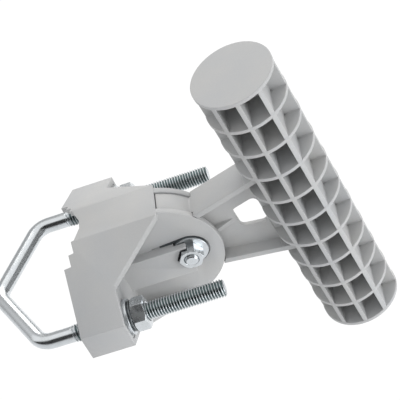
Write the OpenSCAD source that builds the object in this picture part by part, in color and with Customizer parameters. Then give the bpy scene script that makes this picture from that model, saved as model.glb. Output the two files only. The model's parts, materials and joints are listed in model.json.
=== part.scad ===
/* [Saddle] */
// Width of the saddle across both wings
saddle_w = 91.2; // [88:0.4:110]
// Height of the flat outer face at the wing tips
wing_h = 13.7; // [12:0.1:20]
// Height of the saddle over its top and bottom flats
saddle_h = 56.6; // [54:0.2:64]
// Width of the top and bottom flats
flat_w = 18.2; // [17:0.2:24]
// Depth of the wings from front face to back edge
wing_depth = 19.7; // [16:0.1:24]
// Depth of the middle from front face to back edge
core_depth = 44.9; // [42:0.1:50]
// Where the wing starts, across from the middle
wing_start = 29.8; // [28:0.1:32]
// Wall of the moulded shell
wall = 2.6; // [2:0.1:3.2]
// Front face, measured from the pole axis
front_x = 12.6; // [12.6:0.1:20]

/* [Toothed jaw] */
// Half opening of the jaw at its outermost teeth
jaw_half = 18.6; // [17:0.1:20]
// Spacing of the teeth across the jaw
tooth_pitch = 4.75; // [4:0.05:5]
// Depth of the outermost tooth
tooth_1 = 3.3; // [2.4:0.1:3.6]
// Depth of the middle tooth
tooth_2 = 2.5; // [2:0.1:3]
// Depth of the innermost tooth
tooth_3 = 1.4; // [1:0.1:2]
// Depth of the plain throat behind the teeth
throat_depth = 2.8; // [2.4:0.1:3.4]
// Half width of the throat's flat bottom
throat_flat = 2.6; // [2:0.1:3.4]
// Slant of each tooth's flank across the jaw
tooth_slant = 0.3; // [0:0.1:0.6]

/* [V bolt] */
// Distance from the wing's tip to the leg inside it
leg_inset = 10.6; // [10.6:0.1:12]
// Major diameter of the leg thread
leg_d = 8; // [7.8:0.1:8]
// Diameter of the plain rod
rod_d = 7.1; // [6.8:0.1:7.4]
// Where the legs bend, ahead of the saddle's front face
bend_reach = 20.2; // [20.2:0.1:30]
// Included angle of the vee
vee_angle = 120; // [112:1:126]
// Centre line radius of each bend
bend_r = 9; // [8:0.5:11]
// Straight length from bend corner to leg end
leg_len = 83.8; // [78:0.1:92]
// Threaded length of each leg
leg_thread = 70; // [60:1:72]
// Clearance of a leg in the saddle, on the radius
leg_clear = 0.6; // [0.5:0.05:0.8]

/* [Clamp hardware] */
// Nut size across flats
nut_af = 13; // [12.7:0.1:13]
// Nut height
nut_h = 6.4; // [6.1:0.1:6.8]
// Radial running clearance of nut on leg
nut_clear = 0.06; // [0.04:0.01:0.09]
// Flat washer outside diameter
flat_od = 16; // [15.6:0.1:17]
// Flat washer thickness
flat_t = 1.8; // [1.4:0.1:2]
// Lock washer outside diameter
lock_od = 14; // [13:0.1:14.8]
// Lock washer thickness
lock_t = 1.2; // [1:0.1:2.2]
// Split in the lock washer
lock_gap = 1.1; // [0.8:0.1:1.4]
// Radial clearance of washers on a leg
washer_clear = 0.3; // [0.2:0.05:0.4]
// Depth from the wing's back edge to the washer seats
seat_depth = 0.4; // [0.2:0.1:3]
// Thickness of the bulkhead that carries the washer seats
seat_t = 3.2; // [2.6:0.1:4]
// Thickness of the ribs in the wings
wing_rib_t = 1.8; // [1.4:0.1:2.4]
// Wall of the boss round each leg
boss_t = 2.4; // [2:0.1:2.8]
// Length of the bosses ahead of the bulkhead
boss_l = 5; // [3:0.5:8]
// Turn of the near nut about its leg
near_turn = 9; // [0:1:59]
// Turn of the far nut about its leg
far_turn = 24; // [0:1:59]

/* [Ears] */
// Tilt centre behind the saddle's front face
tilt_x = 36.2; // [35:0.1:37]
// Radius of the ear rims about the tilt centre
ear_r = 29.1; // [28.6:0.1:29.6]
// Width over the two ears
ear_w = 15.4; // [15:0.1:16]
// Thickness of each ear
ear_t = 2.7; // [2.4:0.1:2.8]
// How far each bar stands out from its ear
bar_t = 4.2; // [3.6:0.1:4.6]
// Top of the bar above the bolt
bar_up = 6.6; // [6.4:0.1:8]
// Bottom of the bar below the bolt
bar_down = 9.6; // [8:0.1:10.5]
// Gap between the near bar's end and the bolt axis
near_bar_gap = 0.4; // [0.2:0.1:1]
// Gap between the far bar's end and the far washer
far_bar_gap = 1.6; // [1:0.1:2.4]
// Thickness of the rib that ties the ears together
tie_t = 2.6; // [2:0.1:3]
// Gap between the tie rib and the arm's hub
tie_gap = 2; // [1:0.1:3]

/* [Tilt bolt] */
// Distance from tilt centre to bolt
bolt_r = 14.6; // [14:0.1:15]
// Bolt diameter
bolt_d = 6; // [5.8:0.1:6]
// Size across the flats of bolt head and nut
bolt_af = 10; // [9.8:0.1:10]
// Bolt head height
head_h = 4; // [3.8:0.1:4.2]
// Small nut height
small_nut_h = 5.2; // [4.7:0.1:5.4]
// Bolt length left showing past the nut
bolt_show = 1; // [0.9:0.1:2.4]
// Washer outside diameter
small_od = 16; // [15.6:0.1:16.4]
// Washer thickness
small_t = 1.6; // [1.4:0.1:1.8]
// Depth of the washer recess in the ear
recess_t = 0.7; // [0.5:0.1:1.3]
// Clearance round the washer in its recess
recess_clear = 0.7; // [0.5:0.1:0.9]
// Gap between the washer and the roof of its recess in the bar
recess_top = 0.3; // [0.2:0.1:0.6]
// How far the recess runs out along the bar, from the bolt axis
runout_l = 15.6; // [12:0.1:16]
// Height of the run-out at its end
runout_h = 0.8; // [0.3:0.1:1]
// Clearance round the small nut in its pocket
pocket_clear = 0.6; // [0.3:0.1:0.9]
// Radial clearance of the bolt in the ears
bolt_clear = 0.08; // [0.05:0.01:0.1]
// Radial running clearance of the small nut on the bolt
small_nut_clear = 0.06; // [0.04:0.01:0.09]
// Radial clearance of the small washers on the bolt
small_washer_clear = 0.25; // [0.2:0.05:0.4]

/* [Tilting arm] */
// Resting tilt of the arm, nose up
rest_tilt = 5; // [0:0.5:5]
// Largest tilt either way, where the tongue meets the saddle
max_tilt = 5; // [5:0.5:6]
// Half angle between the two flanges
limb_angle = 13; // [12:0.5:14]
// Height of the flange lines above the tilt centre
limb_rise = 11.4; // [11:0.1:12]
// Width of the flanges
flange_w = 15.2; // [14.8:0.1:15.4]
// Thickness of the flanges
flange_t = 2.6; // [2.2:0.1:3]
// Thickness of the web
web_t = 2.4; // [2:0.1:3]
// Gap between tongue and ear, each side
tongue_gap = 0.3; // [0.3:0.05:0.4]
// How far the tongue rim sits below the ear rims
tongue_drop = 0.6; // [0.4:0.1:0.9]
// Gap between the flange ends and the ear rims
rim_gap = 0.4; // [0.35:0.05:0.8]
// Gap left between the tongue and the saddle at full tilt
stop_gap = 0.35; // [0.3:0.05:0.6]
// Diameter of the hub
hub_d = 17; // [16:0.5:18]
// Diameter of the moulded trunnions
trunnion_d = 10; // [9:0.5:12]
// How far each trunnion enters its ear
trunnion_l = 2; // [1.6:0.1:2.2]
// Radial running clearance of the trunnions
trunnion_clear = 0.08; // [0.05:0.01:0.1]
// Gap past each trunnion's end in its socket
trunnion_end = 0.3; // [0.2:0.05:0.4]
// Width of the arc slot for the bolt
slot_w = 7; // [6.8:0.1:7.4]
// Wall round the arc slot
slot_wall = 2.2; // [1.8:0.1:2.6]
// Left edge of the window from the tilt centre
window_x = 38.2; // [37:0.1:40]
// Web left between flange and window
window_edge = 14.3; // [13:0.1:15]
// Corner radius of the window
window_r = 2.6; // [1:0.1:3.4]
// Where the gusset runs out
gusset_x = 36.8; // [35:0.1:37]
// Thickness of the gusset
gusset_t = 2; // [1.6:0.1:2.4]

/* [Ribbed stub] */
// Stub axis from the tilt centre
stub_x = 68.5; // [66:0.1:72]
// Stub diameter
stub_d = 36; // [34:0.5:38]
// Number of cells along the stub
cells = 10; // [10:2:12]
// Spacing of the discs
cell_pitch = 15; // [14.6:0.1:15.6]
// Thickness of each disc
disc_t = 1.6; // [1.4:0.1:2.2]
// Thickness of the cross ribs
rib_t = 1.8; // [1.4:0.1:2.2]
// Thickness of the stub's long web
core_t = 2; // [1.6:0.1:2.4]
// Offset of the outer ribs from the axis
rib_off = 10; // [9:0.1:11]
// How far the ribs' edges sit inside the round of the discs
rib_drop = 0.3; // [0.3:0.1:0.8]

/* [Hidden] */
face_x = front_x;
wing_x = face_x + wing_depth;
core_x = face_x + core_depth;
half_w = saddle_w / 2;
half_h = saddle_h / 2;
tip_h = wing_h / 2;
half_flat = flat_w / 2;
slope = atan((half_h - tip_h) / (half_w - half_flat));
step_1 = face_x + tooth_1;
step_2 = step_1 + tooth_2;
throat_x = step_2 + tooth_3;
throat_end = throat_x + throat_depth;
leg_y = half_w - leg_inset;
bend_x = face_x - bend_reach;
leg_end = bend_x + leg_len;
thread_x = leg_end - leg_thread;
bend_cut = bend_r * tan((180 - vee_angle) / 2);
vee_run = leg_y / sin(vee_angle / 2);
hole_d = leg_d + 2 * leg_clear;
seat_x = wing_x - seat_depth;
bulk_x = seat_x - seat_t;
lock_x = seat_x + flat_t;
nut_x = lock_x + lock_t;
pivot_x = face_x + tilt_x;
bolt_x = pivot_x + bolt_r;
ear_start = bulk_x + seat_t / 2;
half_ear = ear_w / 2;
ear_in = half_ear - ear_t;
bar_y = half_ear + bar_t;
recess_y = half_ear - recess_t;
small_y = recess_y + small_t;
recess_d = small_od + 2 * recess_clear;
tongue_half = ear_in - tongue_gap;
tongue_r = ear_r - tongue_drop;
stop_x = core_x - pivot_x + stop_gap;
tongue_angle = atan2(half_h - wall, stop_x) - max_tilt;
limb_tan = tan(limb_angle);
stub_r = stub_d / 2;
stub_face = stub_x - stub_r;
stub_half = (cells * cell_pitch + disc_t) / 2;
near_bar = bolt_x - near_bar_gap;
far_bar = bolt_x - small_od / 2 - far_bar_gap;
chamfer = 0.8;
nut_cone = 1.6;
band_l = 0.6;
band_t = 0.05;
join = 0.01;
seam = 0.05;
big = 200;
cut = 1;
round_fn = 96;
hole_fn = 64;

// Cylinder along X between two stations
module rod_x(x0, x1, d) {
    translate([x0, 0, 0])
        rotate([0, 90, 0])
            cylinder(d = d, h = x1 - x0, $fn = hole_fn);
}

// Cylinder along Y between two stations
module rod_y(y0, y1, d) {
    translate([0, y1, 0])
        rotate([90, 0, 0])
            cylinder(d = d, h = y1 - y0, $fn = round_fn);
}

// Hexagonal prism along Y with its corners pointing along X
module hex_y(y0, y1, af) {
    translate([0, y1, 0])
        rotate([90, 0, 0])
            cylinder(d = af / cos(30), h = y1 - y0, $fn = 6);
}

// Flat outline in X and Z, given thickness about Y
module plate(half) {
    rotate([90, 0, 0])
        translate([0, 0, -half])
            linear_extrude(2 * half)
                children();
}

// Both sides of something drawn on the +Y side
module both_sides() {
    children();
    mirror([0, 1, 0])
        children();
}

// ---- saddle ----

// Cross section of the saddle in Y and Z, shrunk by a wall
module section(t) {
    drop = t / cos(slope);
    a = half_flat - (drop - t) / tan(slope);
    b = half_h - t;
    c = half_w - t;
    d = tip_h + t * tan(slope) - drop;
    polygon([[a, b], [c, d], [c, -d], [a, -b], [-a, -b], [-c, -d], [-c, d], [-a, b]]);
}

module section_bar(t, x0, x1) {
    translate([x0, 0, 0])
        rotate([90, 0, 90])
            linear_extrude(x1 - x0)
                section(t);
}

// Plan outline of the front: stepped jaw on each side of a plain throat
jaw_edge = [
    [face_x, jaw_half],
    [step_1, jaw_half - tooth_slant],
    [step_1, jaw_half - tooth_pitch],
    [step_2, jaw_half - tooth_pitch - tooth_slant],
    [step_2, jaw_half - 2 * tooth_pitch],
    [throat_x, jaw_half - 2 * tooth_pitch - tooth_slant],
    [throat_end, throat_flat]
];
function flip(p) = [for (i = [len(p) - 1:-1:0]) [p[i][0], -p[i][1]]];

module plan_outer() {
    polygon(concat(
        jaw_edge,
        flip(jaw_edge),
        [[face_x, -half_w], [wing_x, -half_w], [wing_x, -wing_start], [core_x, -half_flat],
         [core_x, half_flat], [wing_x, wing_start], [wing_x, half_w], [face_x, half_w]]));
}

// Shell open at the front and the back, with a bulkhead across the middle
module shell() {
    difference() {
        intersection() {
            section_bar(0, face_x, core_x);
            translate([0, 0, -half_h])
                linear_extrude(saddle_h)
                    plan_outer();
        }
        section_bar(wall, face_x - cut, bulk_x);
        section_bar(wall, seat_x, core_x + cut);
    }
}

// Boss round each leg, tied to the walls above and below by a rib
module leg_bosses() {
    both_sides() {
        translate([0, leg_y, 0])
            rod_x(bulk_x - boss_l, seat_x - join, hole_d + 2 * boss_t);
        translate([bulk_x - boss_l, leg_y - wing_rib_t / 2, -half_h])
            cube([boss_l + join, wing_rib_t, saddle_h]);
    }
}

module ear_profile() {
    intersection() {
        union() {
            translate([pivot_x, 0])
                circle(r = ear_r, $fn = round_fn * 2);
            translate([ear_start, -half_h])
                square([pivot_x - ear_start, saddle_h]);
        }
        translate([ear_start, -half_h])
            square([big, saddle_h]);
    }
}

module ears() {
    both_sides()
        translate([0, half_ear - ear_t / 2, 0])
            plate(ear_t / 2)
                ear_profile();
}

// Bars on the outside of the ears; the near one ends at the bolt, the far one short of the head
module bars() {
    translate([ear_start, -bar_y, -bar_down])
        cube([near_bar - ear_start, bar_t + join, bar_up + bar_down]);
    translate([ear_start, half_ear - join, -bar_down])
        cube([far_bar - ear_start, bar_t + join, bar_up + bar_down]);
}

// Rib between the ears, ahead of the hub
module tie_rib() {
    translate([pivot_x - hub_d / 2 - tie_gap - tie_t, -ear_in - join, -half_h + wall / 2])
        cube([tie_t, 2 * (ear_in + join), saddle_h - wall]);
}

// Washer recess on the +Y side about the bolt axis, with a run-out above the bar
module recess() {
    rod_y(recess_y, small_y + recess_top, recess_d);
    translate([0, recess_y + cut, 0])
        plate(cut)
            polygon([
                [-runout_l, bar_up], [-runout_l, bar_up + runout_h], [0, recess_d / 2], [0, bar_up]]);
}

module saddle() {
    color([0.74, 0.74, 0.73])
        difference() {
            union() {
                shell();
                intersection() {
                    union() {
                        leg_bosses();
                        tie_rib();
                    }
                    section_bar(wall / 2, face_x, core_x);
                }
                ears();
                bars();
            }
            // leg holes
            both_sides()
                translate([0, leg_y, 0])
                    rod_x(bulk_x - boss_l - cut, seat_x + cut, hole_d);
            // trunnion sockets
            translate([pivot_x, 0, 0])
                rod_y(-ear_in - trunnion_l - trunnion_end, ear_in + trunnion_l + trunnion_end,
                      trunnion_d + 2 * trunnion_clear);
            // bolt hole, washer recesses, nut pocket
            translate([bolt_x, 0, 0]) {
                rod_y(-bar_y - cut, bar_y + cut, bolt_d + 2 * bolt_clear);
                recess();
                mirror([0, 1, 0])
                    recess();
                hex_y(-bar_y - cut, -recess_y, bolt_af + 2 * pocket_clear);
            }
        }
}

// ---- v bolt ----

module bend() {
    rotate_extrude(angle = 180 - vee_angle, $fn = round_fn)
        translate([bend_r, 0])
            circle(d = rod_d, $fn = 32);
}

// Narrow band round the rod where a bend begins or ends
module band(x) {
    rod_x(x - band_l / 2, x + band_l / 2, rod_d + 2 * band_t);
}

module leg() {
    translate([bend_x, leg_y, 0]) {
        rod_x(bend_cut, thread_x - bend_x, rod_d);
        band(bend_cut);
        translate([bend_cut, -bend_r, 0])
            rotate([0, 0, 90])
                bend();
        // sloping side of the vee
        rotate([0, 0, 180 + vee_angle / 2]) {
            rod_x(bend_cut, vee_run - bend_cut, rod_d);
            band(bend_cut);
            band(vee_run - bend_cut);
        }
    }
    translate([0, leg_y, 0]) {
        rod_x(thread_x, leg_end - chamfer, leg_d);
        translate([leg_end - chamfer, 0, 0])
            rotate([0, 90, 0])
                cylinder(d1 = leg_d, d2 = leg_d - 2 * chamfer, h = chamfer, $fn = hole_fn);
    }
}

module v_bolt() {
    color([0.78, 0.80, 0.82]) {
        both_sides()
            leg();
        translate([bend_x - leg_y / tan(vee_angle / 2) + bend_r / sin(vee_angle / 2), 0, 0])
            rotate([0, 0, 90 + vee_angle / 2])
                bend();
    }
}

module flat_washers() {
    color([0.80, 0.82, 0.84])
        both_sides()
            translate([0, leg_y, 0])
                difference() {
                    rod_x(seat_x, lock_x, flat_od);
                    rod_x(seat_x - cut, lock_x + cut, leg_d + 2 * washer_clear);
                }
}

module lock_washers() {
    color([0.70, 0.72, 0.74])
        both_sides()
            translate([0, leg_y, 0])
                difference() {
                    rod_x(lock_x, nut_x, lock_od);
                    rod_x(lock_x - cut, nut_x + cut, leg_d + 2 * washer_clear);
                    translate([lock_x - cut, 0, -lock_gap / 2])
                        cube([lock_t + 2 * cut, lock_od, lock_gap]);
                }
}

// Hexagon nut along X, chamfered at both faces
module clamp_nut(turn) {
    wide = nut_af + 2 * nut_h * nut_cone;
    difference() {
        translate([nut_x, 0, 0])
            rotate([turn, 0, 0])
                rotate([0, 90, 0])
                    intersection() {
                        cylinder(d = nut_af / cos(30), h = nut_h, $fn = 6);
                        cylinder(d1 = nut_af, d2 = wide, h = nut_h, $fn = hole_fn);
                        cylinder(d1 = wide, d2 = nut_af, h = nut_h, $fn = hole_fn);
                    }
        rod_x(nut_x - cut, nut_x + nut_h + cut, leg_d + 2 * nut_clear);
    }
}

module near_nut() {
    color([0.76, 0.78, 0.80])
        translate([0, -leg_y, 0])
            clamp_nut(near_turn);
}

module far_nut() {
    color([0.76, 0.78, 0.80])
        translate([0, leg_y, 0])
            clamp_nut(far_turn);
}

// ---- tilt bolt ----

module tilt_bolt() {
    end_y = -small_y - small_nut_h - bolt_show;
    color([0.76, 0.78, 0.80])
        translate([bolt_x, 0, 0]) {
            rod_y(end_y + chamfer, small_y + join, bolt_d);
            translate([0, end_y + chamfer, 0])
                rotate([90, 0, 0])
                    cylinder(d1 = bolt_d, d2 = bolt_d - 2 * chamfer, h = chamfer, $fn = hole_fn);
            intersection() {
                hex_y(small_y, small_y + head_h, bolt_af);
                translate([0, small_y + head_h, 0])
                    rotate([90, 0, 0])
                        cylinder(d1 = bolt_af, d2 = bolt_af + 2 * nut_cone * head_h,
                                 h = head_h, $fn = hole_fn);
            }
        }
}

module tilt_nut() {
    color([0.76, 0.78, 0.80])
        translate([bolt_x, 0, 0])
            difference() {
                intersection() {
                    hex_y(-small_y - small_nut_h, -small_y, bolt_af);
                    translate([0, -small_y, 0])
                        rotate([90, 0, 0])
                            cylinder(d1 = bolt_af + 2 * nut_cone * small_nut_h, d2 = bolt_af,
                                     h = small_nut_h, $fn = hole_fn);
                }
                rod_y(-small_y - small_nut_h - cut, -small_y + cut, bolt_d + 2 * small_nut_clear);
            }
}

module tilt_washers() {
    color([0.80, 0.82, 0.84])
        both_sides()
            translate([bolt_x, 0, 0])
                difference() {
                    rod_y(recess_y, small_y, small_od);
                    rod_y(recess_y - cut, small_y + cut, bolt_d + 2 * small_washer_clear);
                }
}

// ---- tilting arm, drawn about the tilt centre ----

module in_arm() {
    translate([pivot_x, 0, 0])
        rotate([0, -rest_tilt, 0])
            children();
}

// Wedge between the two flange lines, shrunk by t
module wedge(t) {
    d = t / cos(limb_angle);
    polygon([
        [0, limb_rise - d],
        [stub_face, limb_rise - d + stub_face * limb_tan],
        [stub_face, -limb_rise + d - stub_face * limb_tan],
        [0, -limb_rise + d]]);
}

// Where the tongue's edge, moved in by t, turns from radial to along the saddle's end
function turn_point(t) = let(
        x = t / sin(tongue_angle),
        s = (stop_x + t - x * cos(max_tilt)) / cos(tongue_angle + max_tilt))
    [x + s * cos(tongue_angle), s * sin(tongue_angle)];

// Outline of the tongue's two edges, moved in by t and open to the right
module fan(t) {
    p = turn_point(t);
    q = p + big * [sin(max_tilt), cos(max_tilt)];
    polygon([
        [t / sin(tongue_angle), 0],
        p, q, [2 * big, big], [2 * big, -big], [q[0], -q[1]], [p[0], -p[1]]]);
}

// Rounded upper corner of the window, about a centre at x and between two angles
function corner(x, a0, a1) = let(
        z = limb_rise + x * limb_tan - window_edge - window_r / cos(limb_angle))
    [for (k = [0:6])
        let(a = a0 + k * (a1 - a0) / 6)
        [x + window_r * cos(a), z + window_r * sin(a)]];

// Window between the flanges, its right corners rounded into the stub
module window() {
    upper = concat(
        corner(window_x + window_r, 180, 90 + limb_angle),
        corner(stub_face - window_r, 90 + limb_angle, 0));
    end = upper[len(upper) - 1] + [cut, 0];
    polygon(concat(upper, [end], flip(concat(upper, [end]))));
}

// Arc shaped slot about the tilt centre that leaves room w for a turn of a each way
module arc_slot(w, a) {
    reach = a + asin(w / 2 / bolt_r);
    difference() {
        circle(r = bolt_r + w / 2, $fn = round_fn);
        circle(r = bolt_r - w / 2, $fn = round_fn);
        polygon([
            [0, 0], [big * cos(reach), big * sin(reach)], [-big, big],
            [-big, -big], [big * cos(reach), -big * sin(reach)]]);
    }
}

module web() {
    plate(web_t / 2)
        difference() {
            union() {
                intersection() {
                    circle(r = tongue_r - flange_t / 2, $fn = round_fn * 2);
                    fan(flange_t / 2);
                }
                difference() {
                    wedge(flange_t / 2);
                    circle(r = tongue_r - flange_t, $fn = round_fn * 2);
                }
            }
            window();
        }
}

// Flanges outside the ears, ending in arcs that clear the rims
module flanges() {
    plate(flange_w / 2)
        difference() {
            wedge(0);
            wedge(flange_t);
            circle(r = ear_r + rim_gap, $fn = round_fn * 2);
            translate([-big, -big])
                square([big, 2 * big]);
        }
}

// Frame of the part that lies between the ears: rim, sides, hub and slot boss
module tongue() {
    plate(tongue_half) {
        difference() {
            union() {
                intersection() {
                    circle(r = tongue_r, $fn = round_fn * 2);
                    fan(0);
                }
                intersection() {
                    circle(r = ear_r + rim_gap + cut, $fn = round_fn * 2);
                    wedge(0);
                }
            }
            intersection() {
                circle(r = tongue_r - flange_t, $fn = round_fn * 2);
                fan(flange_t);
            }
            difference() {
                wedge(flange_t);
                circle(r = tongue_r - flange_t - cut, $fn = round_fn * 2);
            }
        }
        circle(d = hub_d, $fn = round_fn);
        arc_slot(slot_w + 2 * slot_wall, max_tilt);
    }
}

// Gusset along the middle, running out into the web
module gusset() {
    x0 = bolt_r + slot_w / 2 + slot_wall - cut;
    x1 = ear_r - cut;
    translate([0, 0, -gusset_t / 2])
        linear_extrude(gusset_t)
            polygon([
                [x0, tongue_half], [x1, tongue_half], [gusset_x, web_t / 2 - join],
                [gusset_x, -web_t / 2 + join], [x1, -tongue_half], [x0, -tongue_half]]);
}

module tilt_arm() {
    color([0.74, 0.74, 0.73])
        in_arm()
            difference() {
                union() {
                    web();
                    flanges();
                    tongue();
                    gusset();
                    rod_y(-ear_in - trunnion_l, ear_in + trunnion_l, trunnion_d);
                }
                plate(ear_w)
                    arc_slot(slot_w, max_tilt);
            }
}

// ---- stub ----

module stub() {
    color([0.74, 0.74, 0.73])
        in_arm()
            translate([stub_x, 0, 0]) {
                for (k = [0:cells])
                    translate([0, 0, -stub_half + k * cell_pitch])
                        cylinder(d = stub_d, h = disc_t, $fn = round_fn);
                intersection() {
                    translate([0, 0, -stub_half])
                        cylinder(r = stub_r - rib_drop, h = 2 * stub_half, $fn = round_fn);
                    union() {
                        translate([-stub_r, -core_t / 2, -stub_half])
                            cube([stub_d, core_t, 2 * stub_half]);
                        for (s = [-1:1])
                            translate([s * rib_off - rib_t / 2, -stub_r, -stub_half])
                                cube([rib_t, stub_d, 2 * stub_half]);
                    }
                }
                roots();
            }
}

// Flanges carried on into the stub as far as its first rib, and the long web brought out to them
module roots() {
    web_z = limb_rise + stub_face * limb_tan - flange_t / 2;
    translate([-stub_r + seam, -core_t / 2, -web_z])
        cube([rib_drop + cut, core_t, 2 * web_z]);
    translate([-stub_x, 0, 0])
        plate(flange_w / 2)
            for (s = [-1, 1])
                scale([1, s])
                    polygon([
                        [stub_face, limb_rise + stub_face * limb_tan],
                        [stub_x - rib_off, limb_rise + (stub_x - rib_off) * limb_tan],
                        [stub_x - rib_off, limb_rise + (stub_x - rib_off) * limb_tan - flange_t],
                        [stub_face, limb_rise + stub_face * limb_tan - flange_t / cos(limb_angle)]]);
}

saddle();
v_bolt();
flat_washers();
lock_washers();
near_nut();
far_nut();
tilt_bolt();
tilt_nut();
tilt_washers();
tilt_arm();
stub();
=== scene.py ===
import json
from math import cos, pi, radians, sin, tan

import bmesh
import bpy
from mathutils import Matrix, Quaternion, Vector


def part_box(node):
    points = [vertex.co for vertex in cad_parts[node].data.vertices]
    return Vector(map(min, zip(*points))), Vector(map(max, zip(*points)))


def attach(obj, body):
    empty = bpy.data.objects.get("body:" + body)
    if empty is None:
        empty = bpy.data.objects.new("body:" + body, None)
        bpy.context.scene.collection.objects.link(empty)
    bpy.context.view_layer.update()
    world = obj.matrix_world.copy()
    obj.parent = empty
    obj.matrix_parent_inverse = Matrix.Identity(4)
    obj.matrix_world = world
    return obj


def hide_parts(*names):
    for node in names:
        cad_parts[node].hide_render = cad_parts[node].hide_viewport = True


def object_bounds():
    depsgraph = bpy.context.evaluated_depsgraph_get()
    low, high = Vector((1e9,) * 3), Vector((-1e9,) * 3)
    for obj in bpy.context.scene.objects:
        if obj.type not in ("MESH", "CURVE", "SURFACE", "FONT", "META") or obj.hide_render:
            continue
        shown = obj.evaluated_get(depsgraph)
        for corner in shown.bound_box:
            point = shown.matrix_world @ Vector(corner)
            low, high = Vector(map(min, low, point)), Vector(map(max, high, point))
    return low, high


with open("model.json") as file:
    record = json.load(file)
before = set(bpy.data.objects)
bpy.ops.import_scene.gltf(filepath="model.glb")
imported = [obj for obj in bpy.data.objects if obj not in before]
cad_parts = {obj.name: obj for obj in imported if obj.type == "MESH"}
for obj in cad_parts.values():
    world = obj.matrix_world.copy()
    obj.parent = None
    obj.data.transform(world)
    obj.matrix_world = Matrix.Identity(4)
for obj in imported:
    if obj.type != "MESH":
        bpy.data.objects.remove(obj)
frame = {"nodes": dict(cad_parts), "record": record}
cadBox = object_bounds()
nodes = frame["nodes"]
scene = bpy.context.scene
boltRadius = 0.004        # of the V bolt, at its crests
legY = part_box("v_bolt")[1].y - boltRadius        # each leg's distance from the middle
print("frame loaded:", len(nodes), "nodes")


cameraSettings = {
    "place": (0.189224, -0.476837, 0.482991),
    "facing": (-0.170002, 0.706952, -0.686527),
    "roll": -27.11,      # degrees, turned clockwise
    "lens": 140.64,
    "shift": (0.0060, 0.0008),
}


def makeCamera(s):
    data = bpy.data.cameras.new("camera")
    data.lens = s["lens"]
    data.shift_x, data.shift_y = s["shift"]
    data.clip_start, data.clip_end = 0.01, 20
    cam = bpy.data.objects.new("camera", data)
    scene.collection.objects.link(cam)
    level = Vector(s["facing"]).to_track_quat("-Z", "Y")
    cam.rotation_mode = "QUATERNION"
    cam.rotation_quaternion = level @ Quaternion((0, 0, 1), radians(s["roll"]))
    cam.location = s["place"]
    scene.camera = cam


makeCamera(cameraSettings)
print("camera ready")


# node helpers

def newTree(name, inputs):
    tree = bpy.data.node_groups.new(name, "GeometryNodeTree")
    tree.interface.new_socket("Geometry", in_out="INPUT", socket_type="NodeSocketGeometry")
    for label, kind in inputs:
        tree.interface.new_socket(label, in_out="INPUT", socket_type="NodeSocket" + kind)
    tree.interface.new_socket("Geometry", in_out="OUTPUT", socket_type="NodeSocketGeometry")
    return tree, tree.nodes.new("NodeGroupInput").outputs


def addNode(tree, kind, links, **settings):
    node = tree.nodes.new(kind)
    for key, value in settings.items():
        setattr(node, key, value)
    for key, value in links.items():
        socket = node.inputs[key]
        if hasattr(value, "links"):
            tree.links.new(value, socket)
        else:
            socket.default_value = value
    return node.outputs


def calc(tree, how, a, b=0.0, clamp=False):
    return addNode(tree, "ShaderNodeMath", {0: a, 1: b}, operation=how, use_clamp=clamp)[0]


def vector(tree, x, y, z):
    return addNode(tree, "ShaderNodeCombineXYZ", {"X": x, "Y": y, "Z": z})[0]


def closeTree(tree, mesh, material):        # every tree ends in these two
    real = addNode(tree, "GeometryNodeRealizeInstances", {"Geometry": mesh})[0]
    painted = addNode(tree, "GeometryNodeSetMaterial", {"Geometry": real, "Material": material})[0]
    addNode(tree, "NodeGroupOutput", {"Geometry": painted})


def grow(name, tree, values, base=None):
    raw = newObject(name + "Raw", base or bpy.data.meshes.new(name + "Base"))
    modifier = raw.modifiers.new("grow", "NODES")
    modifier.node_group = tree
    for item in tree.interface.items_tree:
        if item.in_out == "INPUT" and item.name in values:
            modifier[item.identifier] = values[item.name]
    depsgraph = bpy.context.evaluated_depsgraph_get()
    mesh = bpy.data.meshes.new_from_object(raw.evaluated_get(depsgraph))
    mesh.name = name
    bpy.data.objects.remove(raw)
    return mesh


def newMaterial(name):
    mat = bpy.data.materials.new(name)
    mat.use_nodes = True
    tree = mat.node_tree
    tree.nodes.clear()
    shader = tree.nodes.new("ShaderNodeBsdfPrincipled")
    out = tree.nodes.new("ShaderNodeOutputMaterial")
    tree.links.new(shader.outputs["BSDF"], out.inputs["Surface"])
    coords = tree.nodes.new("ShaderNodeTexCoord")
    return mat, tree, shader, coords.outputs["Object"]


def noise(tree, where, scale, detail=3.0, rough=0.5, stretch=None):
    if stretch:
        squeeze = tree.nodes.new("ShaderNodeMapping")
        squeeze.inputs["Scale"].default_value = stretch
        tree.links.new(where, squeeze.inputs["Vector"])
        where = squeeze.outputs["Vector"]
    tex = tree.nodes.new("ShaderNodeTexNoise")
    tex.inputs["Scale"].default_value = scale
    tex.inputs["Detail"].default_value = detail
    tex.inputs["Roughness"].default_value = rough
    tree.links.new(where, tex.inputs["Vector"])
    return tex.outputs["Fac"]


def remap(tree, value, low, high, fromLow=0.3, fromHigh=0.7):
    node = tree.nodes.new("ShaderNodeMapRange")
    node.inputs["From Min"].default_value = fromLow
    node.inputs["From Max"].default_value = fromHigh
    node.inputs["To Min"].default_value = low
    node.inputs["To Max"].default_value = high
    tree.links.new(value, node.inputs["Value"])
    return node.outputs["Result"]


def mixColor(tree, fac, a, b, mode="MIX"):
    node = tree.nodes.new("ShaderNodeMix")
    node.data_type = "RGBA"
    node.blend_type = mode
    for value, socket in ((fac, node.inputs[0]), (a, node.inputs[6]), (b, node.inputs[7])):
        if hasattr(value, "links"):
            tree.links.new(value, socket)
        else:
            socket.default_value = value
    return node.outputs[2]


def bump(tree, height, strength, distance, normal=None):
    node = tree.nodes.new("ShaderNodeBump")
    node.inputs["Strength"].default_value = strength
    node.inputs["Distance"].default_value = distance
    tree.links.new(height, node.inputs["Height"])
    if normal is not None:
        tree.links.new(normal, node.inputs["Normal"])
    return node.outputs["Normal"]


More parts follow.
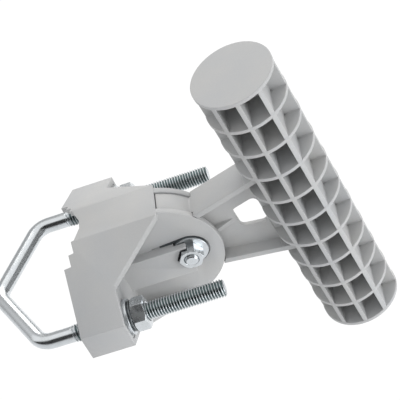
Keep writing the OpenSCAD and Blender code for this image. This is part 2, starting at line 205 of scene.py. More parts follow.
def roundedNormal(tree, radius, samples=6):
    soft = tree.nodes.new("ShaderNodeBevel")
    soft.samples = samples
    soft.inputs["Radius"].default_value = radius
    return soft.outputs["Normal"]


def edgeMask(tree, softNormal, bent=0.80, flat=0.995):        # 1 on edges, 0 on flats
    face = tree.nodes.new("ShaderNodeNewGeometry")
    dot = tree.nodes.new("ShaderNodeVectorMath")
    dot.operation = "DOT_PRODUCT"
    tree.links.new(softNormal, dot.inputs[0])
    tree.links.new(face.outputs["Normal"], dot.inputs[1])
    return remap(tree, dot.outputs["Value"], 1.0, 0.0, bent, flat)


plasticSettings = {
    "color": (0.515, 0.512, 0.502, 1),
    "cooler": (0.485, 0.492, 0.497, 1),
    "flowScale": 55.0,
    # painted highlight: the rounded edges are painted this lighter grey
    "edge": (0.66, 0.66, 0.655, 1),
    "edgeRadius": 0.0005,
    "roughness": (0.44, 0.56),
    "shine": 0.38,
    "grainScale": 2600.0,
    "grainStrength": 0.35,
    "grainDepth": 0.00004,
    "speck": (0.36, 0.36, 0.36, 1),
    "speckScale": 1560.0,
    "speckShare": 0.10,
    "creaseShade": (0.075, 0.08, 0.08, 1),        # painted shade: grooves and corners narrower than the reach are darkened
    "creaseShadeReach": 0.0022,
    "creaseShadeFrom": (0.10, 0.46),
}


def makePlastic(name, s, seed):
    mat, tree, shader, where = newMaterial(name)
    shift = tree.nodes.new("ShaderNodeMapping")
    shift.inputs["Location"].default_value = (seed, seed * 0.7, -seed)
    tree.links.new(where, shift.inputs["Vector"])
    where = shift.outputs["Vector"]
    flow = noise(tree, where, s["flowScale"], 4.0, 0.55)
    body = mixColor(tree, remap(tree, flow, 0.0, 1.0), s["color"], s["cooler"])
    speck = noise(tree, where, s["speckScale"], 2.0)
    body = mixColor(tree, remap(tree, speck, 0.0, s["speckShare"]), body, s["speck"])
    softNormal = roundedNormal(tree, s["edgeRadius"])
    # painted highlight: a lighter colour laid along the rounded edges
    edges = edgeMask(tree, softNormal)
    body = mixColor(tree, edges, body, s["edge"])
    # painted shade: the colour is darkened where ambient occlusion finds surfaces within the reach,
    # in creases, corners and recesses
    near = addNode(tree, "ShaderNodeAmbientOcclusion", {"Distance": s["creaseShadeReach"]}, samples=8)
    body = mixColor(tree, remap(tree, near["AO"], 1.0, 0.0, *s["creaseShadeFrom"]), body, s["creaseShade"])
    tree.links.new(body, shader.inputs["Base Color"])
    tree.links.new(remap(tree, flow, *s["roughness"]), shader.inputs["Roughness"])
    grain = noise(tree, where, s["grainScale"], 2.0, 0.6)
    normal = bump(tree, grain, s["grainStrength"], s["grainDepth"], softNormal)
    tree.links.new(normal, shader.inputs["Normal"])
    shader.inputs["Specular IOR Level"].default_value = s["shine"]
    return mat


saddlePlastic = makePlastic("saddlePlastic", plasticSettings, 0.0)
armPlastic = makePlastic("armPlastic", plasticSettings, 3.1)


recessShadeSettings = {
    # painted shade colour
    "color": (0.085, 0.095, 0.10, 1),
    "earFace": 0.00766,      # just under the ears' outer faces
    "behind": 0.0120,        # reach of the stain from the bolt's axis
    "ahead": 0.0094,
    "fade": (0.0005, 0.0035),        # heights above the bolt where it starts and is full
}


def paintRecessShade(mat, s):            # painted shade over the upper half of the washer recesses and the groove that runs out of them, fading in above the bolt
    tree = mat.node_tree
    shader = tree.nodes["Principled BSDF"]
    low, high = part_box("tilt_bolt")
    bolt = (low + high) / 2
    where = tree.nodes.new("ShaderNodeTexCoord").outputs["Object"]
    split = addNode(tree, "ShaderNodeSeparateXYZ", {0: where})
    start, full = s["fade"]
    # painted shade mask: full above the bolt, none below it
    inside = remap(tree, split["Z"], 0.0, 1.0, bolt.z + start, bolt.z + full)
    for value, how, limit in (
            (calc(tree, "ABSOLUTE", split["Y"]), "LESS_THAN", s["earFace"]),
            (split["X"], "GREATER_THAN", bolt.x - s["behind"]),
            (split["X"], "LESS_THAN", bolt.x + s["ahead"]),
            (split["Z"], "LESS_THAN", bolt.z + s["ahead"])):
        inside = calc(tree, "MULTIPLY", inside, calc(tree, how, value, limit))
    color = shader.inputs["Base Color"].links[0].from_socket
    tree.links.new(mixColor(tree, inside, color, s["color"]), shader.inputs["Base Color"])


paintRecessShade(saddlePlastic, recessShadeSettings)


zincSettings = {
    "color": (0.74, 0.77, 0.80, 1),
    "warm": (0.66, 0.69, 0.70, 1),
    "roughness": (0.16, 0.30),
    "cloudScale": 240.0,
    "scratchScale": 900.0,
    "scratchStrength": 0.2,
    "scratchDepth": 0.00002,
}
rodFinish = {"stretch": (0.15, 1.0, 1.0), "edge": 0.00006}        # drawn along its length


def makeZinc(name, s, dull=0.0, stretch=(1.0, 1.0, 1.0), edge=0.00025):
    mat, tree, shader, where = newMaterial(name)
    cloud = noise(tree, where, s["cloudScale"], 4.0, 0.6)
    color = mixColor(tree, remap(tree, cloud, 0.0, 1.0), s["color"], s["warm"])
    low, high = s["roughness"]
    tree.links.new(color, shader.inputs["Base Color"])
    tree.links.new(remap(tree, cloud, low + dull, high + dull), shader.inputs["Roughness"])
    scratch = noise(tree, where, s["scratchScale"], 3.0, 0.6, stretch)
    normal = bump(tree, scratch, s["scratchStrength"], s["scratchDepth"],
                  roundedNormal(tree, edge))
    tree.links.new(normal, shader.inputs["Normal"])
    shader.inputs["Metallic"].default_value = 1.0
    return mat


rodZinc = makeZinc("rodZinc", zincSettings, 0.0, **rodFinish)


threadSettings = {
    "end": 0.0033,           # the end face, left out of the painted root shade, reaches out to here
    "root": 0.00335,
    "crest": 0.00385,
    "paintedRootShade": (0.10, 0.145, 0.145, 1),
    "dull": 0.13,
}


def makeThreadZinc(name, s):        # zinc crests over roots painted dark as painted shade, the whole thread a duller zinc
    mat = makeZinc(name, zincSettings, s["dull"], **rodFinish)
    tree = mat.node_tree
    shader = tree.nodes["Principled BSDF"]
    where = tree.nodes.new("ShaderNodeTexCoord").outputs["Object"]
    split = addNode(tree, "ShaderNodeSeparateXYZ", {0: where})
    across = calc(tree, "SUBTRACT", calc(tree, "ABSOLUTE", split["Y"]), legY)
    away = calc(tree, "SQRT", calc(tree, "ADD", calc(tree, "MULTIPLY", across, across),
                                   calc(tree, "MULTIPLY", split["Z"], split["Z"])))
    # painted shade: the colour darkens from the crest radius down to the root radius
    crests = remap(tree, away, 0.0, 1.0, s["root"], s["crest"])
    bright = calc(tree, "MAXIMUM", crests, calc(tree, "LESS_THAN", away, s["end"]))
    color = shader.inputs["Base Color"].links[0].from_socket
    tree.links.new(mixColor(tree, bright, s["paintedRootShade"], color), shader.inputs["Base Color"])
    return mat


threadZinc = makeThreadZinc("threadZinc", threadSettings)
nutZinc = makeZinc("nutZinc", zincSettings, 0.02)
washerZinc = makeZinc("washerZinc", zincSettings, 0.12)
# painted shade: the lock washers are coloured dark grey to stand in for the shaded gap between flat
# washer and nut
shadedSpringColors = {"color": (0.26, 0.28, 0.29, 1), "warm": (0.16, 0.17, 0.17, 1)}
springZinc = makeZinc("springZinc", {**zincSettings, **shadedSpringColors}, 0.16)
print("materials ready")


# plain mesh helpers

def newObject(name, data):
    obj = bpy.data.objects.new(name, data)
    scene.collection.objects.link(obj)
    return obj


def newPiece(name, mesh, material, body, slot, *standsFor):
    mesh.materials.clear()
    mesh.materials.append(material)
    for poly in mesh.polygons:
        poly.material_index = 0
    piece = newObject(name, mesh)
    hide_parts(*standsFor)
    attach(piece, body)
    return piece


def shadeByAngle(mesh, degrees):
    mesh.polygons.foreach_set("use_smooth", [True] * len(mesh.polygons))
    mesh.set_sharp_from_angle(angle=radians(degrees))
    mesh.update()


def joinMeshes(name, parts):        # parts: (mesh, matrix) pairs, put into one mesh
    bm = bmesh.new()
    for mesh, matrix in parts:
        start = len(bm.verts)
        bm.from_mesh(mesh)
        bm.verts.ensure_lookup_table()
        bmesh.ops.transform(bm, matrix=matrix, verts=bm.verts[start:])
    joined = bpy.data.meshes.new(name)
    bm.to_mesh(joined)
    bm.free()
    return joined


# rolled thread along +Z from the origin: a right-hand helix that fades out of the shank

def makeThreadTree():
    tree, given = newTree("rolledThread", [
        ("Turns", "Int"), ("Pitch", "Float"), ("Crest Radius", "Float"), ("Root Radius", "Float"),
        ("Shank Radius", "Float"), ("Run Out", "Float"), ("Chamfer", "Float"), ("Around", "Int"),
        ("Material", "Material")])
    pitch, crest, root = given["Pitch"], given["Crest Radius"], given["Root Radius"]
    length = calc(tree, "MULTIPLY", given["Turns"], pitch)
    rings = calc(tree, "MULTIPLY", given["Turns"], given["Around"])
    barrel = addNode(tree, "GeometryNodeMeshCylinder", {
        "Vertices": given["Around"], "Side Segments": rings, "Radius": crest, "Depth": length},
        fill_type="NGON")["Mesh"]
    place = addNode(tree, "GeometryNodeInputPosition", {})[0]
    split = addNode(tree, "ShaderNodeSeparateXYZ", {0: place})
    along = calc(tree, "ADD", split["Z"], calc(tree, "MULTIPLY", length, 0.5))
    angle = calc(tree, "ARCTAN2", split["Y"], split["X"])
    turn = calc(tree, "SUBTRACT", calc(tree, "DIVIDE", along, pitch),
                calc(tree, "DIVIDE", angle, 2 * pi))
    # flats of an eighth of the pitch at the crest and a quarter at the root
    offCrest = calc(tree, "ABSOLUTE", calc(tree, "SUBTRACT", calc(tree, "FRACT", turn), 0.5))
    rise = calc(tree, "MULTIPLY", calc(tree, "SUBTRACT", 0.375, offCrest), 3.2, clamp=True)
    depth = calc(tree, "SUBTRACT", crest, root)
    height = calc(tree, "ADD", root, calc(tree, "MULTIPLY", rise, depth))
    shank = given["Shank Radius"]
    fade = calc(tree, "DIVIDE", along, given["Run Out"], clamp=True)
    above = calc(tree, "SUBTRACT", height, shank)
    faded = calc(tree, "ADD", shank, calc(tree, "MULTIPLY", fade, above))
    tip = calc(tree, "ADD", calc(tree, "SUBTRACT", crest, given["Chamfer"]),
               calc(tree, "SUBTRACT", length, along))
    scale = calc(tree, "DIVIDE", calc(tree, "MINIMUM", faded, tip), crest)
    moved = vector(tree, calc(tree, "MULTIPLY", split["X"], scale),
                   calc(tree, "MULTIPLY", split["Y"], scale), along)
    cut = addNode(tree, "GeometryNodeSetPosition", {"Geometry": barrel, "Position": moved})[0]
    closeTree(tree, cut, given["Material"])
    return tree


threadTree = makeThreadTree()


# bent rod: a round bar swept along a path of straight runs with rounded corners

def makeRodTree():
    tree, given = newTree("bentRod", [
        ("Bend Radius", "Float"), ("Bend Steps", "Int"), ("Rod Radius", "Float"),
        ("Around", "Int"), ("Material", "Material")])
    path = addNode(tree, "GeometryNodeMeshToCurve", {"Mesh": given["Geometry"]})[0]
    bent = addNode(tree, "GeometryNodeFilletCurve", {
        "Curve": path, "Count": given["Bend Steps"], "Radius": given["Bend Radius"]},
        mode="POLY")[0]
    ring = addNode(tree, "GeometryNodeCurvePrimitiveCircle", {
        "Resolution": given["Around"], "Radius": given["Rod Radius"]})["Curve"]
    bar = addNode(tree, "GeometryNodeCurveToMesh", {
        "Curve": bent, "Profile Curve": ring, "Fill Caps": True})[0]
    closeTree(tree, bar, given["Material"])
    return tree


vBoltSettings = {
    "rodRadius": 0.00355,
    "rootRadius": 0.00335,
    "pitch": 0.00125,
    "turns": 56,
    "around": 24,
    "chamfer": 0.0008,
    "runOut": 0.0022,
    "veeHalfAngle": 60.0,
    "bendRadius": 0.009,
    "bendSteps": 20,
    "rodAround": 40,
    "lap": 0.0004,           # how far the rod runs into the thread
    "sunk": 0.00003,         # and how far the thread's start lies inside it
}


def makeVBolt(s):
    low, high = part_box("v_bolt")
    half = radians(s["veeHalfAngle"])
    threadX = high.x - s["turns"] * s["pitch"]
    tipX = low.x + s["rodRadius"] - s["bendRadius"] * (1 / sin(half) - 1)
    bendX = tipX + legY / tan(half)
    endX = threadX + s["lap"]
    path = bpy.data.meshes.new("vBoltPath")
    path.from_pydata([(endX, -legY, 0), (bendX, -legY, 0), (tipX, 0, 0), (bendX, legY, 0),
                      (endX, legY, 0)], [(0, 1), (1, 2), (2, 3), (3, 4)], [])
    rod = grow("vBoltRod", makeRodTree(), {
        "Bend Radius": s["bendRadius"], "Bend Steps": s["bendSteps"],
        "Rod Radius": s["rodRadius"], "Around": s["rodAround"], "Material": rodZinc}, path)
    thread = grow("vBoltThread", threadTree, {
        "Turns": s["turns"], "Pitch": s["pitch"], "Crest Radius": boltRadius,
        "Root Radius": s["rootRadius"], "Shank Radius": s["rodRadius"] - s["sunk"],
        "Run Out": s["runOut"], "Chamfer": s["chamfer"], "Around": s["around"],
        "Material": rodZinc})
    lay = Matrix.Rotation(pi / 2, 4, "Y")
    mesh = joinMeshes("vBolt", [
        (rod, Matrix()),
        (thread, Matrix.Translation((threadX, legY, 0)) @ lay),
        (thread, Matrix.Translation((threadX, -legY, 0)) @ lay)])
    shadeByAngle(mesh, 50)
    newPiece("vBolt", mesh, rodZinc, "clamp_bolt", "v_bolt_zinc", "v_bolt")
    mesh.materials.append(threadZinc)        # past the run-out, where the thread roots are painted dark as painted shade
    for poly in mesh.polygons:
        poly.material_index = 1 if poly.center.x > threadX + s["runOut"] else 0


makeVBolt(vBoltSettings)
print("V bolt made")


# hexagon nut along +Z from the origin: both rims coned, and a countersink at each end of the bore

def nutMesh(name, s):
    count = s["around"]
    half = s["acrossFlats"] / 2
    cone = tan(radians(s["coneAngle"]))
    start = half * s["coneStart"]
    bore, sink, height = s["boreRadius"], s["sink"], s["height"]
    rings = []
    for k in range(8):
        ring = []
        for i in range(count):
            a = 2 * pi * i / count
            corner = half / cos(a % (pi / 3) - pi / 6)
            drop = (corner - start) * cone
            r, z = ((start, 0), (corner, drop), (corner, height - drop), (start, height),
                    (bore + sink, height), (bore, height - sink), (bore, sink), (bore + sink, 0))[k]
            ring.append((r * cos(a), r * sin(a), z))
        rings.append(ring)
    points = [p for ring in rings for p in ring]
    faces = [(k * count + i, (k * count + (i + 1) % count), ((k + 1) % 8) * count + (i + 1) % count,
              ((k + 1) % 8) * count + i) for k in range(8) for i in range(count)]
    mesh = bpy.data.meshes.new(name)
    mesh.from_pydata(points, [], faces)
    return mesh


clampNutSettings = {
    "acrossFlats": 0.013,
    "boreRadius": 0.00406,
    "sink": 0.0004,
    "coneAngle": 30.0,
    "coneStart": 0.95,
    "around": 120,
    "nearTurn": 9.0,
    "farTurn": 24.0,
}


def makeClampNuts(s):
    for name, node, body, side, turn in (
            ("nearClampNut", "near_nut", "clamp_nut_near", -1, s["nearTurn"]),
            ("farClampNut", "far_nut", "clamp_nut_far", 1, s["farTurn"])):
        low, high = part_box(node)
        mesh = nutMesh(name, {**s, "height": high.x - low.x})
        mesh.transform(Matrix.Translation((low.x, side * legY, 0))
                       @ Matrix.Rotation(radians(turn), 4, "X") @ Matrix.Rotation(pi / 2, 4, "Y"))
        shadeByAngle(mesh, 20)
        newPiece(name, mesh, nutZinc, body, "nut_zinc", node)


makeClampNuts(clampNutSettings)


# turned ring along +Z: (radius, height) points of its section, taken round once

def ringMesh(name, section, around, gap=0.0):
    count = len(section)
    steps = around if not gap else around + 1
    points = []
    for i in range(steps):
        a = gap / 2 + (2 * pi - gap) * i / around
        points += [(r * cos(a), r * sin(a), z) for r, z in section]
    faces = []
    for i in range(around):
        j = (i + 1) % steps
        faces += [(i * count + k, j * count + k, j * count + (k + 1) % count,
                   i * count + (k + 1) % count) for k in range(count)]
    if gap:
        faces.append(tuple(reversed(range(count))))
        faces.append(tuple((steps - 1) * count + k for k in range(count)))
    mesh = bpy.data.meshes.new(name)
    mesh.from_pydata(points, [], faces)
    return mesh


def roundedSection(inner, outer, thick, soft, steps=4):      # a rectangle with rounded corners
    section = []
    for x, z, first in ((outer - soft, soft, -90), (outer - soft, thick - soft, 0),
                        (inner + soft, thick - soft, 90), (inner + soft, soft, 180)):
        for k in range(steps + 1):
            a = radians(first + 90 * k / steps)
            section.append((x + soft * cos(a), z + soft * sin(a)))
    return section


washerSettings = {
    "soft": 0.00028,
    "springSoft": 0.00022,
    "springTaper": 0.0006,
    "clearance": 0.0003,
    "smallBoltRadius": 0.003,
    "smallClearance": 0.00025,
    "smallSeat": 0.0070,     # floor of the recess in each ear
    "springGap": 0.0011,
    "around": 96,
}


def makeWashers(s):
    bore = boltRadius + s["clearance"]
    lay = Matrix.Rotation(pi / 2, 4, "Y")
    low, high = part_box("flat_washers")
    flat = ringMesh("flat", roundedSection(bore, high.z, high.x - low.x, s["soft"]), s["around"])
    mesh = joinMeshes("flatWashers", [
        (flat, Matrix.Translation((low.x, y, 0)) @ lay) for y in (-legY, legY)])
    shadeByAngle(mesh, 40)
    newPiece("flatWashers", mesh, washerZinc, "base", "washer_zinc", "flat_washers")
    low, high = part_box("lock_washers")
    gap = s["springGap"] / high.z
    thick = high.x - low.x
    section = [(high.z - s["springTaper"], 0.0), (high.z, s["springTaper"]),
               (high.z, thick - s["springSoft"]), (high.z - s["springSoft"], thick),
               (bore, thick), (bore, 0.0)]
    spring = ringMesh("spring", section, s["around"], gap)
    mesh = joinMeshes("lockWashers", [
        (spring, Matrix.Translation((low.x, side * legY, 0))
         @ Matrix.Rotation(pi / 2, 4, "X") @ lay) for side in (-1, 1)])
    shadeByAngle(mesh, 40)
    newPiece("lockWashers", mesh, springZinc, "base", "lock_washer_zinc", "lock_washers")
    low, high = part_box("tilt_washers")
    bore = s["smallBoltRadius"] + s["smallClearance"]
    centre = (low + high) / 2
    section = roundedSection(bore, (high.x - low.x) / 2, high.y - s["smallSeat"], s["soft"])
    small = ringMesh("small", section, s["around"])
    mesh = joinMeshes("tiltWashers", [
        (small, Matrix.Translation((centre.x, side * high.y, centre.z))
         @ Matrix.Rotation(side * pi / 2, 4, "X")) for side in (-1, 1)])
    shadeByAngle(mesh, 40)
    newPiece("tiltWashers", mesh, washerZinc, "base", "washer_zinc", "tilt_washers")


makeWashers(washerSettings)


smallBoltSettings = {
    "acrossFlats": 0.010,
    "headHeight": 0.004,
    "radius": 0.003,
    "rootRadius": 0.00246,
    "pitch": 0.001,
    "turns": 12,
    "around": 24,
    "chamfer": 0.0006,
    "shankAround": 48,
    "lap": 0.0002,           # how far the shank runs into the thread
    "headLap": 0.0001,       # and into the head
    "sunk": 0.00001,
    "hexAround": 96,
    "head": {"boreRadius": 0.0001, "sink": 0.00005, "coneAngle": 30.0, "coneStart": 0.95},
    "nut": {"boreRadius": 0.00306, "sink": 0.00045, "coneAngle": 20.0, "coneStart": 1.0},
}


def makeTiltBolt(s):
    low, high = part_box("tilt_bolt")
    centre = (low + high) / 2
    seat = high.y - s["headHeight"]
    threadY = low.y + s["turns"] * s["pitch"]
    thread = grow("tiltBoltThread", threadTree, {
        "Turns": s["turns"], "Pitch": s["pitch"], "Crest Radius": s["radius"],
        "Root Radius": s["rootRadius"], "Shank Radius": s["radius"] - s["sunk"],
        "Run Out": s["pitch"], "Chamfer": s["chamfer"], "Around": s["around"],
        "Material": nutZinc})
    length = seat + s["headLap"] - threadY + s["lap"]
    shank = ringMesh("shank", [
        (s["sunk"], 0), (s["radius"], 0), (s["radius"], length), (s["sunk"], length)],
        s["shankAround"])
    hexagon = {"acrossFlats": s["acrossFlats"], "around": s["hexAround"]}
    head = nutMesh("head", {**hexagon, **s["head"], "height": s["headHeight"]})
    mesh = joinMeshes("tiltBolt", [
        (thread, Matrix.Translation((centre.x, threadY, centre.z))
         @ Matrix.Rotation(pi / 2, 4, "X")),
        (shank, Matrix.Translation((centre.x, threadY - s["lap"], centre.z))
         @ Matrix.Rotation(-pi / 2, 4, "X")),
        (head, Matrix.Translation((centre.x, seat, centre.z))
         @ Matrix.Rotation(-pi / 2, 4, "X"))])
    shadeByAngle(mesh, 30)
    newPiece("tiltBolt", mesh, nutZinc, "pinch_bolt", "tilt_bolt_zinc", "tilt_bolt")
    low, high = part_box("tilt_nut")
    nut = nutMesh("tiltNut", {**hexagon, **s["nut"], "height": high.y - low.y})
    nut.transform(Matrix.Translation((centre.x, high.y, centre.z))
                  @ Matrix.Rotation(pi / 2, 4, "X"))
    shadeByAngle(nut, 20)
    newPiece("tiltNut", nut, nutZinc, "base", "nut_zinc", "tilt_nut")


makeTiltBolt(smallBoltSettings)
print("nuts, washers and tilt bolt made")


# ribbed stub: discs on a line, three cross ribs and one long web, trimmed round and joined

def makeStubTree():
    tree, given = newTree("ribbedStub", [
        ("Radius", "Float"), ("Discs", "Int"), ("Spacing", "Float"), ("Disc Thickness", "Float"),
        ("Rib Thickness", "Float"), ("Rib Offset", "Float"), ("Web Thickness", "Float"),
        ("Trim", "Float"), ("Around", "Int"), ("Material", "Material")])
    radius, spacing = given["Radius"], given["Spacing"]
    span = calc(tree, "MULTIPLY", spacing, calc(tree, "SUBTRACT", given["Discs"], 1))
    half = calc(tree, "MULTIPLY", span, 0.5)
    disc = addNode(tree, "GeometryNodeMeshCylinder", {
        "Vertices": given["Around"], "Radius": radius, "Depth": given["Disc Thickness"]},
        fill_type="NGON")["Mesh"]
    stations = addNode(tree, "GeometryNodeMeshLine", {
        "Count": given["Discs"],
        "Start Location": vector(tree, 0, 0, calc(tree, "MULTIPLY", half, -1)),
        "Offset": vector(tree, 0, 0, spacing)}, mode="OFFSET")[0]
    discs = addNode(tree, "GeometryNodeInstanceOnPoints", {"Points": stations, "Instance": disc})[0]
    wide = calc(tree, "MULTIPLY", radius, 2.4)        # past the rim, the barrel trims it
    rib = addNode(tree, "GeometryNodeMeshCube", {
        "Size": vector(tree, given["Rib Thickness"], wide, span)})["Mesh"]
    rows = addNode(tree, "GeometryNodeMeshLine", {
        "Count": 3,
        "Start Location": vector(tree, calc(tree, "MULTIPLY", given["Rib Offset"], -1), 0, 0),
        "Offset": vector(tree, given["Rib Offset"], 0, 0)}, mode="OFFSET")[0]
    ribs = addNode(tree, "GeometryNodeInstanceOnPoints", {"Points": rows, "Instance": rib})[0]
    web = addNode(tree, "GeometryNodeMeshCube", {
        "Size": vector(tree, wide, given["Web Thickness"], span)})["Mesh"]
    barrel = addNode(tree, "GeometryNodeMeshCylinder", {
        "Vertices": given["Around"], "Radius": calc(tree, "SUBTRACT", radius, given["Trim"]),
        "Depth": calc(tree, "ADD", span, 0.01)}, fill_type="NGON")["Mesh"]

    def blendMeshes(how, *meshes):
        node = tree.nodes.new("GeometryNodeMeshBoolean")
        node.operation = how
        node.solver = "MANIFOLD"
        for mesh in meshes:
            tree.links.new(mesh, node.inputs["Mesh 2"])
        return node.outputs["Mesh"]

    real = [addNode(tree, "GeometryNodeRealizeInstances", {"Geometry": copies})[0]
            for copies in (discs, ribs)]
    cross = blendMeshes("UNION", web, real[1])
    trimmed = blendMeshes("INTERSECT", barrel, cross)
    whole = blendMeshes("UNION", real[0], trimmed, given["Geometry"])
    closeTree(tree, whole, given["Material"])
    return tree


stubSettings = {
    "radius": 0.018,
    "discs": 11,
    "spacing": 0.015,
    "discThickness": 0.0016,
    "ribThickness": 0.0018,
    "ribOffset": 0.010,
    "webThickness": 0.002,
    "trim": 0.00006,
    "around": 96,
    "flangeHalfWidth": 0.0076,
    "flangeThickness": 0.0026,
    "flangeRise": 0.0114,
    "flangeSlope": 13.0,
    "armReach": 0.0685,
    "overlap": 0.0001,
    "webRoot": (0.0014, 0.00075),        # length, and its middle's depth inside the rim
}


def makeStub(s):
    mounts = {m["name"]: m for m in frame["record"]["mounts"]}
    upper, lower = (Vector(mounts[n]["pos_m"]) for n in ("stub_upper", "stub_lower"))
    axis = (upper - lower).normalized()
    place = Matrix.Translation((upper + lower) / 2) @ axis.rotation_difference(
        Vector((0, 0, 1))).inverted().to_matrix().to_4x4()
    slope = tan(radians(s["flangeSlope"]))
    thick = s["flangeThickness"] / cos(radians(s["flangeSlope"]))
    roots = bmesh.new()        # the arm's flanges carried on to the first rib
    near, far = -s["radius"] - s["overlap"], -s["ribOffset"]
    webTop = s["flangeRise"] + (s["armReach"] - s["radius"]) * slope - s["flangeThickness"] / 2
    for side in (1, -1):
        corners = []
        for x in (near, far):
            top = s["flangeRise"] + (s["armReach"] + x) * slope
            corners += [(x, top), (x, top - thick)]
        loop = [corners[0], corners[1], corners[3], corners[2]]
        rings = [[roots.verts.new((x, y, side * z)) for x, z in loop]
                 for y in (-s["flangeHalfWidth"], s["flangeHalfWidth"])]
        roots.faces.new(rings[0])
        roots.faces.new(reversed(rings[1]))
        for k in range(4):
            j = (k + 1) % 4
            roots.faces.new((rings[0][k], rings[1][k], rings[1][j], rings[0][j]))
    web = bmesh.ops.create_cube(roots, size=1)["verts"]        # and the web out to the arm
    rootLength, rootDepth = s["webRoot"]
    bmesh.ops.scale(roots, vec=(rootLength, s["webThickness"], 2 * webTop), verts=web)
    bmesh.ops.translate(roots, vec=(rootDepth - s["radius"], 0, 0), verts=web)
    bmesh.ops.recalc_face_normals(roots, faces=roots.faces)
    base = bpy.data.meshes.new("stubRoots")
    roots.to_mesh(base)
    roots.free()
    mesh = grow("ribbedStub", makeStubTree(), {
        "Radius": s["radius"], "Discs": s["discs"], "Spacing": s["spacing"],
        "Disc Thickness": s["discThickness"], "Rib Thickness": s["ribThickness"],
        "Rib Offset": s["ribOffset"], "Web Thickness": s["webThickness"], "Trim": s["trim"],
        "Around": s["around"], "Material": armPlastic}, base)
    mesh.transform(place)
    shadeByAngle(mesh, 30)
    newPiece("ribbedStub", mesh, armPlastic, "arm", "arm_plastic", "stub")


makeStub(stubSettings)
print("ribbed stub made")


# moulded shells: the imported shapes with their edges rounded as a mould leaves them

mouldSettings = {
    "edge": 0.0003,
    "steps": 2,
    "bevelFrom": 30.0,       # degrees between faces
    "smoothBelow": 32.0,
    "flatWithin": 0.4,
    "weld": 1e-6,
}


def makeMoulding(name, node, material, slot, body, s):
    bm = bmesh.new()
    bm.from_mesh(nodes[node].data)
    bmesh.ops.remove_doubles(bm, verts=bm.verts, dist=s["weld"])
    bmesh.ops.dissolve_limit(
        bm, angle_limit=radians(s["flatWithin"]), verts=bm.verts, edges=bm.edges)
    mesh = bpy.data.meshes.new(name)
    bm.to_mesh(mesh)
    bm.free()
    raw = newObject(name + "Raw", mesh)
    soft = raw.modifiers.new("soft", "BEVEL")
    soft.width = s["edge"]
    soft.segments = s["steps"]
    soft.limit_method = "ANGLE"
    soft.angle_limit = radians(s["bevelFrom"])
    soft.use_clamp_overlap = True
    depsgraph = bpy.context.evaluated_depsgraph_get()
    rounded = bpy.data.meshes.new_from_object(raw.evaluated_get(depsgraph))
    bpy.data.objects.remove(raw)
    rounded.name = name
    shadeByAngle(rounded, s["smoothBelow"])
    newPiece(name, rounded, material, body, slot, node)


makeMoulding("saddleShell", "saddle", saddlePlastic, "saddle_plastic", "base", mouldSettings)
makeMoulding("tiltArm", "tilt_arm", armPlastic, "arm_plastic", "arm", mouldSettings)
print("mouldings made")


stageSettings = {
    "floorDrop": 0.25,           # metres below the lowest point
    "floorHalf": 6.0,
    "floorColor": (0.90, 0.90, 0.90, 1),
    "white": 1.04,
    "keepShadow": 0.12,
}


def makeFloor(s):
    low, high = cadBox
    z = low.z - s["floorDrop"]
    mesh = bpy.data.meshes.new("floor")
    half = s["floorHalf"]
    mesh.from_pydata([(-half, -half, z), (half, -half, z), (half, half, z), (-half, half, z)],
                     [], [(0, 1, 2, 3)])
    newObject("floor", mesh)
    mat = bpy.data.materials.new("floorPaper")
    mat.use_nodes = True
    tree = mat.node_tree
    tree.nodes.clear()
    paper = tree.nodes.new("ShaderNodeBsdfDiffuse")
    paper.inputs["Color"].default_value = s["floorColor"]
    white = tree.nodes.new("ShaderNodeEmission")
    white.inputs["Strength"].default_value = s["white"]
    path = tree.nodes.new("ShaderNodeLightPath")
    seen = tree.nodes.new("ShaderNodeMath")
    seen.operation = "MULTIPLY"
    seen.inputs[1].default_value = 1 - s["keepShadow"]
    tree.links.new(path.outputs["Is Camera Ray"], seen.inputs[0])
    mix = tree.nodes.new("ShaderNodeMixShader")
    tree.links.new(seen.outputs[0], mix.inputs[0])
    tree.links.new(paper.outputs[0], mix.inputs[1])
    tree.links.new(white.outputs[0], mix.inputs[2])
    out = tree.nodes.new("ShaderNodeOutputMaterial")
    tree.links.new(mix.outputs[0], out.inputs["Surface"])
    mesh.materials.append(mat)


worldSettings = {
    "fill": 0.79,
    "fillColor": (0.975, 0.985, 1.0, 1),
    "cards": [               # degrees up from the front and over, brightness seen in the metal
        (-180, 0.45), (2, 0.60), (9, 0.03), (60, 0.03), (68, 1.0), (118, 1.0), (132, 0.45),
        (180, 0.45)],
}


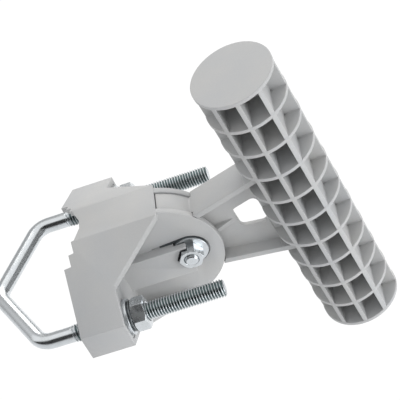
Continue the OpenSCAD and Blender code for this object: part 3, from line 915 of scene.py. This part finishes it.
def makeWorld(s):
    world = bpy.data.worlds.new("studio")
    scene.world = world
    world.use_nodes = True
    tree = world.node_tree
    tree.nodes.clear()
    out = tree.nodes.new("ShaderNodeOutputWorld")
    path = tree.nodes.new("ShaderNodeLightPath")
    fill, cards, white = [tree.nodes.new("ShaderNodeBackground") for k in range(3)]
    fill.inputs["Color"].default_value = s["fillColor"]
    fill.inputs["Strength"].default_value = s["fill"]
    white.inputs["Color"].default_value = (1, 1, 1, 1)
    where = tree.nodes.new("ShaderNodeTexCoord")
    split = addNode(tree, "ShaderNodeSeparateXYZ", {0: where.outputs["Generated"]})
    angle = calc(tree, "ARCTAN2", split["Z"], calc(tree, "MULTIPLY", split["Y"], -1))
    ramp = tree.nodes.new("ShaderNodeValToRGB")
    tree.links.new(remap(tree, angle, 0.0, 1.0, -pi, pi), ramp.inputs[0])
    stops = ramp.color_ramp.elements
    while len(stops) < len(s["cards"]):
        stops.new(1.0)
    for stop, (degrees, light) in zip(stops, s["cards"]):
        stop.position = degrees / 360 + 0.5
        stop.color = (light, light, light, 1)
    tree.links.new(ramp.outputs["Color"], cards.inputs["Color"])
    for ray, other in (("Is Glossy Ray", cards), ("Is Camera Ray", white)):
        mix = tree.nodes.new("ShaderNodeMixShader")
        tree.links.new(path.outputs[ray], mix.inputs[0])
        tree.links.new(fill.outputs[0], mix.inputs[1])
        tree.links.new(other.outputs[0], mix.inputs[2])
        fill = mix
    tree.links.new(fill.outputs[0], out.inputs["Surface"])


lampSettings = [
    {"name": "backLamp", "toward": (0.25, 0.8, 0.6), "away": 1.2, "size": 0.9, "power": 7.0,
     "color": (1.0, 0.98, 0.955)},
    {"name": "sideLamp", "toward": (0.88, -0.46, -0.14), "away": 1.0, "size": 0.6, "power": 4.6,
     "color": (0.965, 0.98, 1.0)},
]


def makeLamp(s, aim):
    data = bpy.data.lights.new(s["name"], "AREA")
    data.shape = "SQUARE"
    data.size = s["size"]
    data.energy = s["power"]
    data.color = s["color"]
    lamp = newObject(s["name"], data)
    away = Vector(s["toward"]).normalized() * s["away"]
    lamp.location = aim + away
    lamp.rotation_mode = "QUATERNION"
    lamp.rotation_quaternion = (-away).to_track_quat("-Z", "Y")


makeFloor(stageSettings)
makeWorld(worldSettings)
for lampData in lampSettings:
    makeLamp(lampData, (cadBox[0] + cadBox[1]) / 2)
scene.view_settings.view_transform = "Standard"
print("stage ready")
